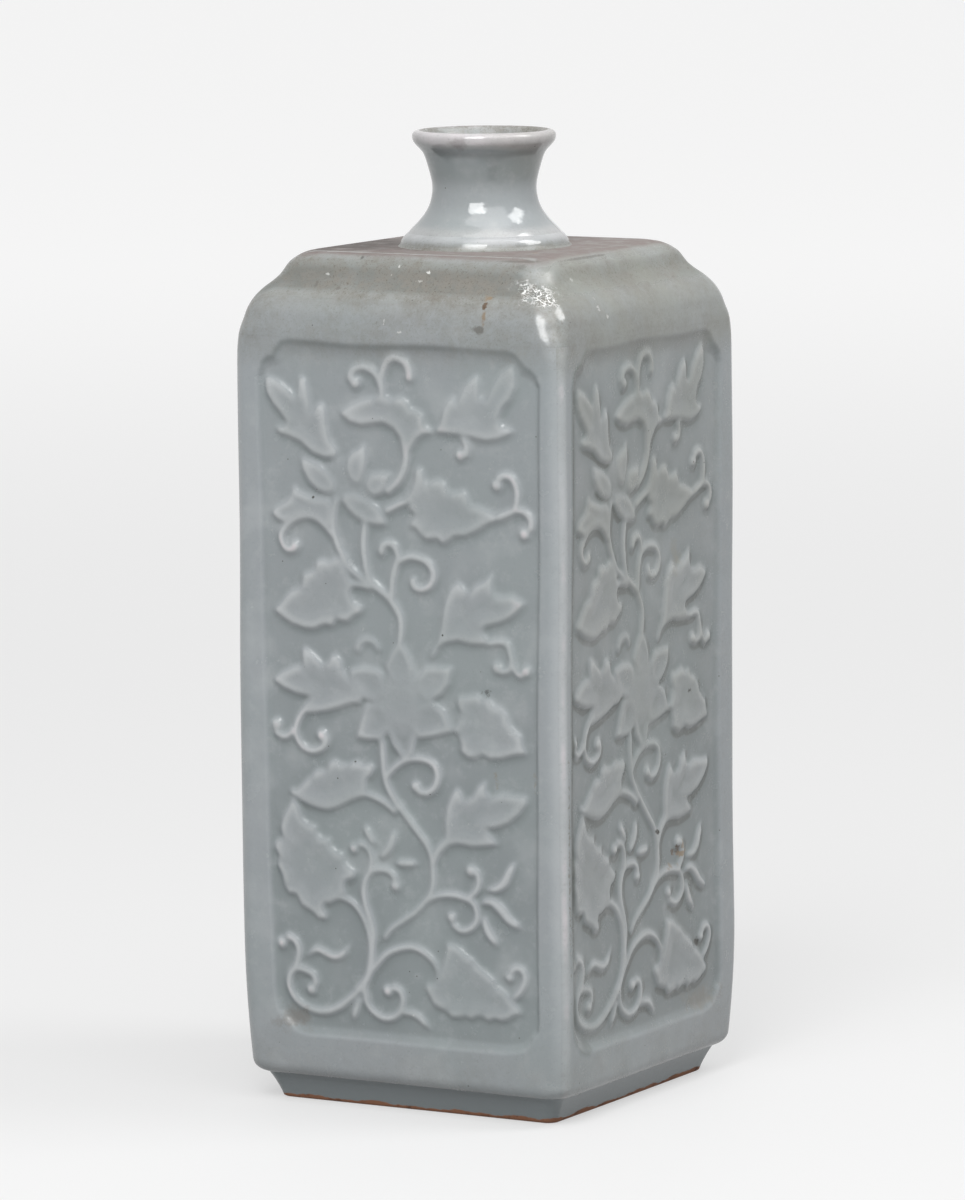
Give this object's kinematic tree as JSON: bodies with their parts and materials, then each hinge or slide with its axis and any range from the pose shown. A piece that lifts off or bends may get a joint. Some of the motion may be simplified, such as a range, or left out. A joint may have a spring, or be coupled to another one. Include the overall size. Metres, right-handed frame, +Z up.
{
  "type": "celadon vase",
  "caption": "Square slab-built celadon bottle vase: moulded scrolling flower panels, ogee shoulder, short waisted neck and inset foot.",
  "frame": {"origin": "centre of the square that the foot stands on, in the plane it rests on", "axes": "+Z up along the neck, -Y out of the front wall, +X out of the right wall"},
  "size_m": [0.104, 0.104, 0.2705],
  "materials": {
    "celadon_glaze": "satin grey-green celadon glaze, paler over raised edges, with fine specks",
    "neck_glaze": "glossier celadon glaze, pale and pinkish where it thins on the lip",
    "foot_rim": "celadon glaze ending in bare reddish brown clay on the standing edge",
    "inside_clay": "thin dull glaze over grey clay inside and under the body"
  },
  "bodies": {
    "root": {"front_wall": "celadon_glaze", "right_wall": "celadon_glaze", "back_wall": "celadon_glaze", "left_wall": "celadon_glaze", "front_foot_strip": "foot_rim", "right_foot_strip": "foot_rim", "back_foot_strip": "foot_rim", "left_foot_strip": "foot_rim", "front_left_seam_coil": "inside_clay", "front_right_seam_coil": "inside_clay", "back_right_seam_coil": "inside_clay", "back_left_seam_coil": "inside_clay", "floor_slab": "inside_clay", "shoulder": "celadon_glaze", "neck_ring": "neck_glaze", "neck": "neck_glaze"}
  },
  "joints": []
}
